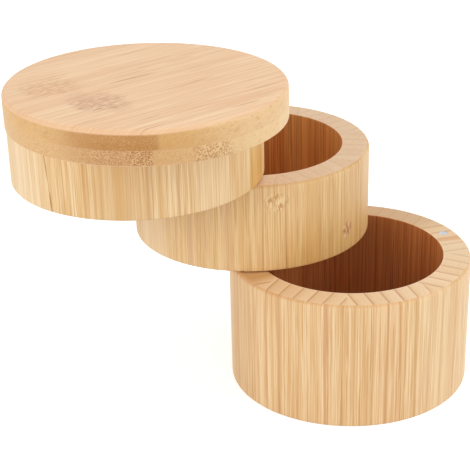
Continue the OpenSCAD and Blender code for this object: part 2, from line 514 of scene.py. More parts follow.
def hollow_shade_colour(at, inside):
    """Colour of the hollow's wall: the same fields in darker, redder shades, which are painted shade."""
    warm, red, dark, light = inside
    return layered(warm, (at.tone, 0.38, 0.66, 1.0, red), (at.hairs, 0.5, 0.66, 0.7, dark),
                   (at.hairs, 0.48, 0.34, 0.4, light))


# %% [markdown]
# Real cane isn't even. A cup has paler or darker patches, golden stain that deepens the wood but leaves its
# hairlines, and knuckles, where the cane's joints were planed off and left short flecks. Each is laid on by
# its angle round the cup, so it stays in its place from every side. Two dark patches on the bottom cup are
# painted shadow from the middle cup, and the stain low on the middle cup is painted warm bounce light.

# %% Patches, stains and knuckles
def off_bearing(at, degrees):
    """Angle between a point and a bearing round the cup, the short way, in radians."""
    return calc("PINGPONG", minus(at.angle, radians(degrees)), pi)


def patched(at, colour, patches):
    """Lay soft patches over the side and the rim, with a strength for each; some are painted shadow."""
    for degrees, half_width, on_side, on_end, patch_colour in patches:
        off = off_bearing(at, degrees)
        amount = times_plus(at.on_rim, on_end - on_side, on_side)
        amount = times(amount, fade(off, radians(half_width), radians(half_width) * 0.4))
        colour = tint(amount, colour, patch_colour)
    return colour


def stained_and_bounce_lit(at, colour, stains_and_bounce):
    """Multiply the side's colour by a stain's colour, between the heights where it is full and where it is
    gone; the middle cup's stain is painted warm bounce light.
    """
    for degrees, half_width, strength, stain_and_bounce_colour, full_height, gone_height in stains_and_bounce:
        off = off_bearing(at, degrees)
        amount = fade(off, radians(half_width), radians(half_width) * 0.6, 0.0, strength)
        amount = times(amount, fade(at.z, gone_height, full_height))
        amount = times(amount, minus(1.0, at.on_rim))
        colour = tint(amount, colour, stain_and_bounce_colour, how="MULTIPLY")
    return colour


def knuckled(at, colour, knuckles, light):
    """Lay dark and light flecks inside an ellipse of angle and height, over the knuckle's own colour."""
    for degrees, height, half_width, half_height, strength, ground, knuckle_colour in knuckles:
        away = over(off_bearing(at, degrees), radians(half_width))
        above = over(minus(at.z, height), half_height)
        inside_spot = fade(squares(away, above), 1.0, 0.2)
        flecks = cloud(fibres(at, *KNUCKLE_FLECKS), detail=1.5)
        colour = tint(times(inside_spot, ground), colour, knuckle_colour)
        dark_flecks = times(inside_spot, fade(flecks, 0.5, 0.62, 0.0, strength))
        colour = tint(dark_flecks, colour, knuckle_colour)
        light_flecks = times(inside_spot, fade(flecks, 0.49, 0.4, 0.0, 0.85))
        colour = tint(light_flecks, colour, light)
    return colour


# %% The whole wall finish
def wall_bamboo(level, tones, rim, glue, inside, first_line, line_drift, seed, rim_line=0.8, rim_dots=0.4,
                threads=(0.8, 22 * MM), stripes=(), patches=(), stains_and_bounce=(), knuckles=()):
    """Finish of one cup wall.

    tones are the pale, golden, pink, dark-hair and light-hair colours of the side; rim the cream, brown,
    tan and pale-grain colours of the end grain, the last also painted as a highlight on the inner edge; glue
    its colours on the rim and on the side; inside the hollow's colours, darker and redder as painted shade.
    threads are (strength, length of a run). stripes are (degrees, half width in degrees, strength, colour,
    lean in radians per metre), patches (degrees, half width, strength on the side, on the rim, colour), some
    of them painted shadow, each stain (degrees, half width, strength, colour, height where full, where gone)
    a real stain, except the middle cup's, which is painted warm bounce light, and knuckles (degrees, height,
    half width, half height, strength, ground, colour). Degrees are the cup's own.
    """
    material, shader = new_finish(f"bamboo_{level}_wall", Specular_IOR_Level=0.35)
    at = wall_places(level, first_line, line_drift, seed)
    side = side_colour(at, tones, glue[1], rim_line, threads, stripes)
    colour = tint(at.on_rim, side, rim_colour(at, rim, glue[0], rim_line, rim_dots))
    colour = patched(at, colour, patches)
    colour = stained_and_bounce_lit(at, colour, stains_and_bounce)
    colour = knuckled(at, colour, knuckles, tones[4])
    # Painted shade: the hollow's wall takes darker, redder shades.
    in_shaded_hollow = fade(at.radius, HOLLOW_RADIUS + 0.3 * MM, HOLLOW_RADIUS + 0.05 * MM)
    in_shaded_hollow = times(in_shaded_hollow, minus(1.0, at.on_rim))
    colour = tint(in_shaded_hollow, colour, hollow_shade_colour(at, inside))

    # Open fibres are a little rougher and lie a little lower
    roughness = fade(at.hairs, 0.3, 0.75, 0.42, 0.6)
    relief = times_plus(at.hairs, -0.5, times(at.dot, -0.2))
    coat(shader, colour, roughness, relief, fade(at.level_share, 0.05, 0.4, 0.12, 0.03), 0.05 * MM)
    return material


# %% [markdown]
# Each cup gets its own wood: a few golden or brown strips, dark threads, patches and knuckles, each at its
# own angle, so that the three cups don't look alike. Lists keep them apart from the code that lays them on.

# %% Wood of the bottom cup
RED_HAIR, TAN_HAIR, BROWN_HAIR = shades((206, 148, 104), (200, 150, 96), (172, 122, 68))
GOLDEN, PINK, LEANING_HAIR = shades((222, 178, 112), (214, 168, 128), (180, 130, 68))

WALLS = {}
WALLS["bottom"] = wall_bamboo(
    "bottom",
    tones=shades((241, 209, 162), (228, 187, 134), (236, 191, 146), (208, 152, 92), (249, 224, 180)),
    rim=shades((240, 210, 170), (214, 172, 122), (230, 192, 144), (252, 220, 190)),
    glue=shades((190, 138, 88), (198, 142, 92)),
    # The hollow's shades are darker and redder: painted shade.
    inside=shades((206, 134, 76), (188, 114, 60), (154, 86, 42), (218, 148, 88)),
    first_line=4.9 * MM, line_drift=-0.2 * MM, seed=3.0,
    stripes=[(215.3, 0.7, 0.5, TAN_HAIR, 0), (237.8, 0.9, 0.65, RED_HAIR, 0), (245.4, 0.45, 0.7, TAN_HAIR, 0),
             (250.8, 0.5, 0.6, TAN_HAIR, 0), (258.8, 0.5, 0.7, TAN_HAIR, 0), (265.6, 0.6, 0.6, TAN_HAIR, 0),
             (273.0, 0.6, 0.7, TAN_HAIR, -0.5), (280.5, 0.5, 0.6, TAN_HAIR, -0.3),
             (288.0, 0.6, 0.5, TAN_HAIR, 0)],
    # The patches at 187 and 40 degrees are painted shadow from the middle cup, mostly on the rim.
    patches=[(187, 16, 0.22, 0.8, linear(202, 154, 96)), (345, 30, 0.2, 0.3, linear(232, 212, 182)),
             (356.5, 3.4, 0.0, 0.7, linear(218, 164, 108)), (40, 34, 0.0, 0.8, linear(206, 170, 128)),
             (294, 14, 0.25, 0.0, linear(248, 222, 182))])

# %% Wood of the middle cup
# Darker, redder shades for the upper cups' hollows: painted shade.
UPPER_HOLLOW_SHADE = shades((231, 164, 93), (211, 135, 71), (169, 101, 50), (244, 176, 104))
WALLS["middle"] = wall_bamboo(
    "middle",
    tones=shades((238, 204, 150), (227, 186, 128), (226, 180, 132), (196, 146, 86), (243, 214, 166)),
    rim=shades((233, 204, 168), (208, 166, 122), (226, 186, 148), (246, 206, 172)),
    glue=shades((186, 136, 92), (190, 134, 84)),
    inside=UPPER_HOLLOW_SHADE, first_line=2.9 * MM, line_drift=1.7 * MM, seed=41.0,
    rim_line=0.25, rim_dots=1.0, threads=(0.45, 9 * MM),
    stripes=[(152.6, 1.8, 0.5, PINK, 0), (158.6, 0.9, 0.45, PINK, 0.3), (171.0, 3.5, 0.3, PINK, 0),
             (177.6, 1.6, 0.5, GOLDEN, 0), (187.4, 0.4, 0.5, BROWN_HAIR, 0),
             (198.2, 0.4, 0.45, BROWN_HAIR, 0), (211.0, 5.0, 0.45, GOLDEN, 0),
             (221.0, 0.5, 0.45, BROWN_HAIR, 0), (241.5, 0.8, 0.5, PINK, 0)],
    patches=[(128, 14, 0.5, 0.0, linear(246, 216, 176)), (255, 9, 0.4, 0.0, linear(240, 208, 164))],
    # This stain is painted light: warm light bounced up from the bottom cup's hollow onto the wall above it.
    stains_and_bounce=[(233, 50, 0.5, linear(246, 222, 150), 54 * MM, 84 * MM)],
    knuckles=[(194, 84.0 * MM, 7.0, 5.0 * MM, 0.7, 0.0, linear(190, 138, 76)),
              (233.8, 63.8 * MM, 4.5, 4.5 * MM, 1.0, 0.25, linear(188, 124, 80))])

# %% Wood of the top cup
WALLS["top"] = wall_bamboo(
    "top",
    tones=shades((242, 214, 168), (230, 192, 136), (234, 196, 146), (206, 154, 88), (247, 223, 180)),
    rim=shades((238, 208, 168), (214, 174, 126), (230, 194, 150), (250, 216, 184)),
    glue=shades((190, 138, 90), (194, 142, 88)),
    inside=UPPER_HOLLOW_SHADE, first_line=0.8 * MM, line_drift=2.1 * MM, seed=77.0,
    stripes=[(79.2, 0.5, 0.9, LEANING_HAIR, -1.85), (71.0, 2.0, 0.3, GOLDEN, 0),
             (75.3, 0.4, 0.6, TAN_HAIR, 0), (86.4, 0.5, 0.6, TAN_HAIR, 0), (93.6, 1.6, 0.5, GOLDEN, 0),
             (101.8, 3.2, 0.65, GOLDEN, 0), (113.8, 1.0, 0.55, TAN_HAIR, 0), (126.8, 0.5, 0.6, TAN_HAIR, 0)],
    patches=[(101, 18, 0.35, 0.0, linear(210, 164, 106)), (53, 16, 0.35, 0.0, linear(246, 222, 188)),
             (144, 14, 0.4, 0.0, linear(246, 220, 178))],
    stains_and_bounce=[(176.5, 11.5, 0.85, linear(239, 219, 162), 92 * MM, 140 * MM)])
print("wall finishes:", ", ".join(f"{m.name}, {len(m.node_tree.nodes)} nodes" for m in WALLS.values()))

# %% [markdown]
# ## The wall blocks
# On the real cup each block is an eighth of a ring, sawn from the laminated board, glued edge to edge and
# turned round. Seen from above a block is a bent rectangle. Its skin is a stack of loops: from a hole or a
# middle point out over the rim, round the eased edge, down the sides and in again under the foot. Loops are
# worked out in angle and radius, where the bent rectangle is a plain one, so they can't cross.

# %% Outline of a block and the easing of its edges
def unit_outline(long_side=44, short_side=10, nick=0.01 * MM):
    """Rectangle from -1 to 1 along the ring and 0 to 1 through the wall, corners nicked, as two arrays."""
    along_nick, through_nick = nick / (CUP_RADIUS * pi / BLOCKS), nick / WALL
    s = np.linspace(-1 + along_nick, 1 - along_nick, long_side)
    t = np.linspace(through_nick, 1 - through_nick, short_side)
    a = np.concatenate([s, np.ones_like(t), s[::-1], -np.ones_like(t)])
    b = np.concatenate([np.ones_like(s), t[::-1], np.zeros_like(s), t])
    return a, b


def easing(steps=6):
    """Quarter round from the flat face to the upright side: how far in and how far down, in bevel radii."""
    a = np.linspace(0, pi / 2, steps)
    return 1 - np.sin(a), 1 - np.cos(a)


def circle_towards(a, b, centre_angle, radius):
    """Circle round a hole's centre with one point for each outline point, at the bearing of that point."""
    bearing = np.arctan2(b, a)
    x = PIVOT_RADIUS + radius * np.sin(bearing)
    y = radius * np.cos(bearing)
    return centre_angle + np.arctan2(y, x), np.hypot(x, y)


# %% A whole block as a stack of loops
def block_loops(level, number, height, hole_angle=None, rim_hole=None, foot_hole=None, bore=None, chips=()):
    """Loops of wall block `number`, in the cup's own frame.

    Each loop mixes the outline with a circle round the hole, in angle and radius: share 0 is the circle, 1
    the outline. rim_hole and foot_hole are (radius, depth) of blind holes; bore is the radius of a hole
    right through. chips are (own angle, half width, depth) of bites out of the foot's outer edge.
    """
    half = pi / BLOCKS
    middle = (number - 1) * 2 * half + RING_LEAD[level]
    hole_angle = middle if hole_angle is None else hole_angle
    a, b = unit_outline()
    theta = middle + a * half
    bearing_a = (theta - hole_angle) * PIVOT_RADIUS
    bearing_b = HOLLOW_RADIUS + b * WALL - PIVOT_RADIUS
    foot = np.full_like(theta, ROUNDING["foot"])
    for chip_angle, width, depth in chips:
        foot += depth * np.exp(-(((theta - chip_angle) / width) ** 2))

    def loop(share, hole_radius, z, in_rim=0.0, in_foot=0.0):
        inner = HOLLOW_RADIUS + ROUNDING["rim_inner"] * in_rim
        outer = CUP_RADIUS - ROUNDING["rim_outer"] * in_rim - foot * in_foot
        radius = inner + b * (outer - inner)
        circle_angle, circle_radius = circle_towards(bearing_a, bearing_b, hole_angle, hole_radius)
        angle = circle_angle + share * (theta - circle_angle)
        radius = circle_radius + share * (radius - circle_radius)
        return np.stack([radius * np.cos(angle), radius * np.sin(angle), z + 0 * angle], -1)

    inward, down = easing()
    rim_fall = ROUNDING["rim_inner"] + b * (ROUNDING["rim_outer"] - ROUNDING["rim_inner"])
    plain_top, plain_foot = height - 2.6 * MM, ROUNDING["foot"] * 3
    side = [loop(1, 0, height - d * rim_fall, in_rim=i) for i, d in zip(inward, down)]
    side += [loop(1, 0, z) for z in np.linspace(plain_top, plain_foot, 9)]
    side += [loop(1, 0, d * foot * b, in_foot=i * b) for i, d in zip(inward[::-1], down[::-1])]
    shares = np.array([0.2, 0.45, 0.72])
    rim_radius, rim_depth = rim_hole or (bore or 0, 0)
    foot_radius, foot_depth = foot_hole or (bore or 0, 0)
    rim_face = [loop(0, rim_radius, height)] + [loop(s, rim_radius, height, in_rim=1) for s in shares]
    foot_face = [loop(s, foot_radius, 0, in_foot=b) for s in shares[::-1]] + [loop(0, foot_radius, 0)]
    if rim_hole:
        rim_face = [loop(0, r, height - rim_depth) for r in (0, rim_radius)] + rim_face
    if foot_hole:
        foot_face += [loop(0, r, foot_depth) for r in (foot_radius, bore or 0)]
    loops = rim_face + side + foot_face
    if bore and foot_hole:
        loops += [loop(0, bore, z) for z in np.linspace(foot_depth, height, 6)[1:-1]]
    elif bore:
        loops += [loop(0, bore, z) for z in np.linspace(0, height, 6)[1:-1]]
    return np.array(loops)


# %% Make the blocks of all three cups
MAGNET_ANGLE = radians(4.5)
MAGNET_POCKET = (2.05 * MM, 2.1 * MM)
ROD_BORE = 2.55 * MM
HEAD_RECESS = (4.5 * MM, 3.45 * MM)
MIDDLE_CHIPS = [(radians(169), 0.012, 0.45 * MM), (radians(172), 0.008, 0.6 * MM),
                (radians(174.5), 0.014, 0.5 * MM), (radians(177.5), 0.008, 0.4 * MM)]

for level in ("bottom", "middle", "top"):
    for number in range(1, BLOCKS + 1):
        node = f"{level}_block_{number}"
        foot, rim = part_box(node)[0].z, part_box(node)[1].z
        holes = {}
        if number == 1:
            holes = {"hole_angle": MAGNET_ANGLE, "rim_hole": MAGNET_POCKET}
            if level != "bottom":
                holes["foot_hole"] = MAGNET_POCKET
        if number == 5:
            holes = {"hole_angle": pi, "bore": ROD_BORE}
            if level == "bottom":
                holes["foot_hole"] = HEAD_RECESS
        chips = MIDDLE_CHIPS if level == "middle" else ()
        loops = place(level, block_loops(level, number, rim - foot, chips=chips, **holes))
        loops[..., 2] += foot
        piece = closed_stack(f"{level}_wall_{number}", loops, through="bore" in holes)
        finish_piece(piece, WALLS[level], level, node)

# %% [markdown]
# ## Bamboo for the lid and the floors
# The lid is pressed flat from two layers of wide strips. Its face shows long grain with two knuckles of the
# cane, where the fibres swirl and darken. Its side cuts through the fibres: where the side faces along the
# grain it is end grain, darker and full of dots, and where it runs along the grain it is smooth and pale.
# So the side colour depends on how squarely the surface faces the fibres, taken from the normal in the
# piece's own space.

# %% Places along and across the grain
BOARD_WIDTH = 20.5 * MM
STROKE_HALF_WIDTH = 0.9 * MM


def grain_axes(angle, u, v):
    """Lengthwise = u cos g + v sin g and across = v cos g - u sin g, for a grain at angle g."""
    lengthwise = times_plus(u, cos(angle), times(v, sin(angle)))
    return lengthwise, times_plus(v, cos(angle), times(u, -sin(angle)))


def grain_field(lengthwise, across, z, length, width, offset=0.0):
    """(lengthwise / length, across / width + offset, z / width); with no z it is the same at all heights."""
    height = 0.0 if z is None else over(z, width)
    return along(over(lengthwise, length), times_plus(across, 1 / width, offset), height)


# %% Colour of the face
def lay_strokes(at, top, strokes, long_strokes, dark):
    """Single long dark strokes: ellipses in the grain's own axes, bent by a random field."""
    for spot_x, spot_y, half_length, strength in long_strokes:
        u, v = grain_axes(at.face_grain, minus(at.x, spot_x), minus(at.y, spot_y))
        u, v = over(u, half_length), over(v, STROKE_HALF_WIDTH)
        v = times_plus(minus(strokes, 0.5), 2.5, v)
        top = tint(fade(squares(u, v), 1.0, 0.1, 0.0, strength), top, dark)
    return top


def lay_knuckles(at, top, knuckles, dark, light):
    """Knuckles of the cane: a wavy ellipse of its own ground colour, with dark and light flecks in it."""
    for spot_x, spot_y, reach_along, reach_across, strength, ground in knuckles:
        u, v = grain_axes(at.face_grain, minus(at.x, spot_x), minus(at.y, spot_y))
        distance = squares(over(u, reach_along), over(v, reach_across))
        wobble = cloud(grain_field(u, v, at.z, 9 * MM, 3 * MM), detail=2.0)
        distance = times_plus(minus(wobble, 0.5), 1.6, distance)
        flecks = grain_field(u, v, at.z, 3.2 * MM, 0.75 * MM, 1.0)
        flecks = cloud(flecks, detail=2.0, rough=0.7)
        blotch = fade(distance, 1.15, 0.0)
        top = tint(times(blotch, strength * 0.6), top, ground)
        top = tint(times(blotch, fade(flecks, 0.48, 0.64, 0.0, strength)), top, dark)
        top = tint(times(blotch, fade(flecks, 0.44, 0.32, 0.0, strength)), top, light)
    return top


def face_colour(at, face, board_seed, long_strokes, knuckles):
    """Colour of the face, from its boards to its knuckles, and the field of its fine streaks."""
    pale, golden, dark, light = face
    lengthwise, across = grain_axes(at.face_grain, at.x, at.y)
    board = calc("FLOOR", over(across, BOARD_WIDTH))
    board_draw = random_for(calc("ADD", board, board_seed))["Value"]
    slip = times_plus(board_draw, 60 * MM, lengthwise)
    bands = cloud(grain_field(slip, across, None, 120 * MM, 5 * MM), detail=3.0)
    streaks = cloud(grain_field(slip, across, None, 45 * MM, 0.9 * MM, 3.0), detail=3.0, rough=0.6)
    strokes = cloud(grain_field(slip, across, None, 30 * MM, 1.6 * MM, 7.0), detail=1.0)
    tone = times_plus(bands, 1.0, times_plus(board_draw, 0.35, -0.2))
    top = layered(pale, (tone, 0.15, 0.85, 1.0, golden), (streaks, 0.5, 0.66, 0.7, golden),
                  (streaks, 0.49, 0.34, 0.7, light), (strokes, 0.62, 0.74, 0.5, dark))
    top = lay_strokes(at, top, strokes, long_strokes, dark)
    top = lay_knuckles(at, top, knuckles, dark, light)
    return layered(top, (at.level_share, 0.98, 0.75, 0.65, golden)), streaks


# %% [markdown]
# The side needs to know how squarely it faces the fibres. The normal is turned back by the grain's angle,
# and the square of its lengthwise part is 1 on end grain and 0 on long grain. Dots are the cut fibre
# bundles, coarse on some boards and fine on others, and they crowd together low in the upper layer.

# %% Colour of the side
def dots_and_gaps(at, lengthwise, across, dot_width, coarse_boards):
    """Amounts of dots and of the pale gaps between them, and the dots alone.

    coarse_boards are (rise from, rise to, end, strength) across the grain; elsewhere the strength is a
    quarter.
    """
    crooked = cloud(grain_field(lengthwise, across, at.z, 8 * MM, 2.5 * MM, 6.0), detail=1.0)
    bent = times_plus(minus(crooked, 0.5), 1.5 * MM, across)
    nearest = cells(grain_field(lengthwise, bent, at.z, 14 * MM, dot_width, 2.0))["Distance"]
    coarse = 0.25
    for rise_from, rise_to, stop, strength in coarse_boards:
        rise = fade(across, rise_from, rise_to, 0.0, strength)
        window = times(rise, fade(across, stop + 0.4 * MM, stop - 0.4 * MM))
        coarse = calc("MAXIMUM", window, coarse)
    dot_strength = times(coarse, fade(at.end_grain, 0.1, 0.7, 0.0, 0.8))
    dot = fade(nearest, 0.6, 0.34)
    gap_amount = times(fade(nearest, 0.5, 0.8), times(dot_strength, 0.6))
    return times(dot, dot_strength), gap_amount, dot


def edge_colour(at, side, side_grain, dot_width, coarse_boards, dense, light_from):
    """Colour of the side, with the place across the grain and the dots that the finish needs again."""
    long_grain, dark_end, lighter, dot_colour, gap_colour, *crowd_colour = side
    lengthwise, across = grain_axes(side_grain, at.x, at.y)
    streaks = cloud(grain_field(lengthwise, across, at.z, 60 * MM, 1.0 * MM), detail=3.0)
    bands = cloud(grain_field(lengthwise, across, at.z, 150 * MM, 3.5 * MM, 4.0), detail=2.0)
    edge = layered(long_grain, (at.end_grain, 0.62, 1.0, 1.0, dark_end),
                   (across, -14 * MM, -30 * MM, 0.8, lighter))
    light_board = fade(across, light_from - 1.3 * MM, light_from + 1.3 * MM)
    light_amount = times(light_board, fade(at.end_grain, 0.3, 0.9, 0.0, 0.75))
    edge = tint(light_amount, edge, lighter)
    edge = layered(edge, (bands, 0.5, 0.8, 0.3, dark_end), (streaks, 0.52, 0.75, 0.4, dark_end))
    dot_amount, gap_amount, dot = dots_and_gaps(at, lengthwise, across, dot_width, coarse_boards)
    if dense:
        crowded = fade(at.z, dense + 0.8 * MM, dense - 0.2 * MM)
        crowded = times(crowded, fade(at.end_grain, 0.7, 1.0, 0.0, 0.55))
        crowded = times(crowded, times_plus(light_board, -0.85, 1.0))
        crowded = times(crowded, fade(across, -16 * MM, -3 * MM))
        edge = tint(crowded, edge, crowd_colour[0])
    edge = tint(dot_amount, edge, dot_colour)
    edge = tint(gap_amount, edge, gap_colour)
    seam = fade(calc("ABSOLUTE", minus(at.z, PLY_SEAM)), 0.25 * MM, 0.0)
    seam = times(seam, fade(at.end_grain, 0.6, 1.0, 0.0, 0.35))
    return tint(seam, edge, dot_colour), across, dot


# %% The finish for flat-pressed bamboo
def pressed_bamboo(name, level, face, side, face_grain, side_grain, dot_width, coarse_boards=(), knuckles=(),
                   long_strokes=(), dense=None, light_from=10.8 * MM):
    """Finish of a disc pressed from wide strips.

    face holds the pale, golden, dark and light colours; side the long-grain, end-grain, lighter board's,
    dots' and gaps' colours, and that of crowded fibres. dot_width is the width of a fibre bundle. knuckles
    are (x, y, reach along, reach across, strength, colour) and long_strokes (x, y, half length, strength)
    in the level's own frame. dense is the height below which the fibres crowd together, and light_from the
    place across the side's grain where a lighter board starts.
    """
    material, shader = new_finish(name, Specular_IOR_Level=0.35)
    at = SimpleNamespace(face_grain=face_grain)
    (at.x, at.y, at.z), (normal_x, normal_y, up) = own_coordinates(level)
    at.level_share = calc("ABSOLUTE", up)
    turned = {"Vector": along(normal_x, normal_y, 0.0), "Angle": -TURN[level] - side_grain}
    turned = put("VectorRotate", turned, rotation_type="Z_AXIS").outputs[0]
    lengthwise_normal = put("SeparateXYZ", {"Vector": turned}).outputs[0]
    at.end_grain = times(lengthwise_normal, lengthwise_normal)
    top, streaks = face_colour(at, face, dot_width / MM, long_strokes, knuckles)
    edge, across, dot = edge_colour(at, side, side_grain, dot_width, coarse_boards, dense, light_from)

    # The face's colour runs over the rounded edge, less far where the edge runs along the grain
    edge_from = fade(across, 10 * MM, 36 * MM, 0.08, 0.5)
    on_face = fade(minus(at.level_share, edge_from), 0.0, 0.27)
    relief = times_plus(streaks, on_face, times(dot, -0.4))
    roughness = fade(streaks, 0.3, 0.75, 0.42, 0.58)
    coat(shader, tint(on_face, edge, top), roughness, relief, 0.2, 0.06 * MM)
    return material


# %% The lid's two layers
LID_LOWER, LID_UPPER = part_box("lid_lower_ply"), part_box("lid_upper_ply")
PLY_SEAM = LID_UPPER[0].z
LID_FACE = shades((243, 205, 164), (231, 186, 143), (203, 151, 109), (248, 218, 179))
LID_GRAIN = {"face_grain": radians(2), "side_grain": radians(45)}
KNUCKLES = [(30.0 * MM, -18.0 * MM, 13 * MM, 13 * MM, 0.6, linear(216, 164, 114)),
            (25.4 * MM, 7.5 * MM, 11 * MM, 14 * MM, 0.9, linear(203, 157, 121))]
STROKES = [(1.2 * MM, -7.3 * MM, 13 * MM, 0.7), (-24.7 * MM, -14.5 * MM, 9 * MM, 0.55),
           (-29.3 * MM, 31.3 * MM, 11 * MM, 0.5), (-11.7 * MM, 42.0 * MM, 8 * MM, 0.5),
           (22.2 * MM, -27.0 * MM, 10 * MM, 0.35), (-7.7 * MM, 11.7 * MM, 15 * MM, 0.3)]

upper_ply_finish = pressed_bamboo(
    "bamboo_lid_upper_ply", "lid", LID_FACE,
    side=shades((234, 196, 146), (192, 140, 80), (220, 174, 112), (170, 114, 62), (220, 174, 116),
                (182, 128, 66)),
    **LID_GRAIN, dot_width=0.4 * MM, coarse_boards=[(-30 * MM, 5 * MM, 12.6 * MM, 0.7)],
    knuckles=KNUCKLES, long_strokes=STROKES, dense=PLY_SEAM + 2.2 * MM, light_from=12.6 * MM)
lower_ply_finish = pressed_bamboo(
    "bamboo_lid_lower_ply", "lid", LID_FACE,
    side=shades((236, 201, 150), (206, 159, 106), (218, 174, 118), (158, 102, 58), (232, 192, 144)),
    **LID_GRAIN, dot_width=0.52 * MM,
    coarse_boards=[(-27 * MM, -6 * MM, 3.5 * MM, 0.6), (2.5 * MM, 3.5 * MM, 10.8 * MM, 1.0),
                   (22 * MM, 25 * MM, 35.6 * MM, 0.8)])

# %% The floors
FLOORS = {}
for level, grain_degrees in (("bottom", 20), ("middle", -35), ("top", 75)):
    FLOORS[level] = pressed_bamboo(
        f"bamboo_{level}_floor", level,
        # The floors take the hollow's darker, redder tone: painted shade.
        face=shades((196, 142, 92), (178, 120, 72), (140, 86, 48), (208, 156, 104)),
        side=shades((196, 142, 92), (170, 116, 70), (182, 126, 78), (140, 90, 50), (206, 154, 104)),
        face_grain=radians(grain_degrees), side_grain=radians(grain_degrees), dot_width=0.8 * MM)
print("lid's seam at", round(PLY_SEAM / MM, 2), "mm; floors:", ", ".join(m.name for m in FLOORS.values()))

# %% [markdown]
# ## Lid, floors and the steel line
# The lid's two layers, the floors, magnets, washers, insert and rod were all turned, so each is a profile
# carried round an axis. The lid's layers also have a hole off their middle for the threaded insert. Their
# loops slide from the lid's outline to a circle round the pivot line, a straight mix of two circles with
# the same point count.

# %% Round pieces
def turned_loops(rows, centre, around=72, ripple=None):
    """Loops of a turned piece: each (radius, height) row of the profile carried once round a centre line.

    ripple(angle, height) is added to the radius, for a thread or a knurl.
    """
    angle = np.linspace(0, 2 * pi, around, endpoint=False)
    rows = np.array(rows, float)
    radius, z = rows[:, :1] + 0 * angle, rows[:, 1:] + 0 * angle
    if ripple:
        radius = np.where(radius > 0, radius + ripple(angle, z), 0)
    return np.stack([centre[0] + radius * np.cos(angle), centre[1] + radius * np.sin(angle), z], -1)


def disc_rows(radius, low, high, top_ease, foot_ease, rings=4):
    """Profile of a disc from the middle of its top to the middle of its foot, with quarter-round edges."""
    inward, down = easing()
    rows = [(r, high) for r in np.linspace(0, radius - top_ease, rings + 1)[:-1]]
    rows += [(radius - top_ease * i, high - top_ease * d) for i, d in zip(inward, down)]
    rows += [(radius - foot_ease * i, low + foot_ease * d) for i, d in zip(inward[::-1], down[::-1])]
    return rows + [(r, low) for r in np.linspace(radius - foot_ease, 0, rings + 1)[1:]]


def ring_rows(inner, outer, low, high, ease):
    """Profile of a flat ring, once round its section, with quarter-round outer edges."""
    inward, down = easing(4)
    rows = [(inner, high)] + [(outer - ease * i, high - ease * d) for i, d in zip(inward, down)]
    rows += [(outer - ease * i, low + ease * d) for i, d in zip(inward[::-1], down[::-1])]
    return rows + [(inner, low)]


def slide_to_hole(outline, centre, radius, z, shares):
    """Loops between an outline and a circle round `centre`: share 1 is the outline, share 0 the circle."""
    bearing = np.arctan2(outline[:, 1] - centre[1], outline[:, 0] - centre[0])
    x, y = centre[0] + radius * np.cos(bearing), centre[1] + radius * np.sin(bearing)
    circle = np.stack([x, y, z + 0 * bearing], -1)
    level_outline = outline.copy()
    level_outline[:, 2] = z
    return [circle + s * (level_outline - circle) for s in shares], circle


# %% Lid layers
lid_middle = level_centre("lid")
PIVOT = np.array([-PIVOT_RADIUS, 0.0])
INSERT_POCKET, POCKET_IN_UPPER = 3.5 * MM, 2.5 * MM
foot_z, seam_z, lid_top_z = LID_LOWER[0].z, PLY_SEAM, LID_UPPER[1].z
SHARES = np.array([0.75, 0.5, 0.25])
SEAM_EASE = 0.05 * MM

rows = disc_rows(LID_RADIUS, seam_z, lid_top_z, ROUNDING["lid_top"], SEAM_EASE, rings=8)
upper = turned_loops(rows, lid_middle, 200)[:-8]
slide, circle = slide_to_hole(upper[-1], PIVOT, INSERT_POCKET, seam_z, SHARES)
ceiling = circle + [0, 0, POCKET_IN_UPPER]
point = np.zeros_like(circle) + [*PIVOT, ceiling[0, 2]]
upper_ply = closed_stack("lid_face_layer", np.array([*upper, *slide, circle, ceiling, point]))
finish_piece(upper_ply, upper_ply_finish, "lid", "lid_upper_ply")

rows = disc_rows(LID_RADIUS, foot_z, seam_z, SEAM_EASE, ROUNDING["lid_foot"])
lower = turned_loops(rows, lid_middle, 200)[4:-4]
slide_top, circle_top = slide_to_hole(lower[0], PIVOT, INSERT_POCKET, seam_z, SHARES[::-1])
slide_foot, circle_foot = slide_to_hole(lower[-1], PIVOT, INSERT_POCKET, foot_z, SHARES)
lower_loops = np.array([circle_top, *slide_top, *lower, *slide_foot, circle_foot])
lower_ply = closed_stack("lid_under_layer", lower_loops, through=True)

# %% [markdown]
# The lower layer has a second hole, the magnet's pocket. A stack of loops can go round only one hole, so
# this one is cut with a Boolean modifier, which is applied at once: the cutter is a plain turned plug and
# isn't kept.

# %% Cut the magnet's pocket
def magnet_place(level):
    """Centre of a level's magnets in the part's frame."""
    return place(level, PIVOT_RADIUS * np.array([cos(MAGNET_ANGLE), sin(MAGNET_ANGLE)]))


pocket_radius, pocket_depth = MAGNET_POCKET
plug_top, plug_foot = foot_z + pocket_depth, foot_z - 1 * MM
plug_rows = [(0, plug_top), (pocket_radius, plug_top), (pocket_radius, plug_foot), (0, plug_foot)]
plug = closed_stack("plug", turned_loops(plug_rows, magnet_place("lid"), 48))
cut = lower_ply.modifiers.new("magnet_pocket", "BOOLEAN")
cut.operation, cut.solver, cut.object = "DIFFERENCE", "EXACT", plug
bpy.context.view_layer.update()
result = bpy.data.meshes.new_from_object(lower_ply.evaluated_get(bpy.context.evaluated_depsgraph_get()))
lower_ply.modifiers.clear()
lower_ply.data = result
result.shade_smooth()
result.set_sharp_from_angle(angle=radians(35))
bpy.data.objects.remove(plug)
finish_piece(lower_ply, lower_ply_finish, "lid", "lid_lower_ply")
print("lid under layer after the cut:", len(result.polygons), "faces")

# %% Floors of the cups
FLOOR_RADIUS = HOLLOW_RADIUS - 0.05 * MM

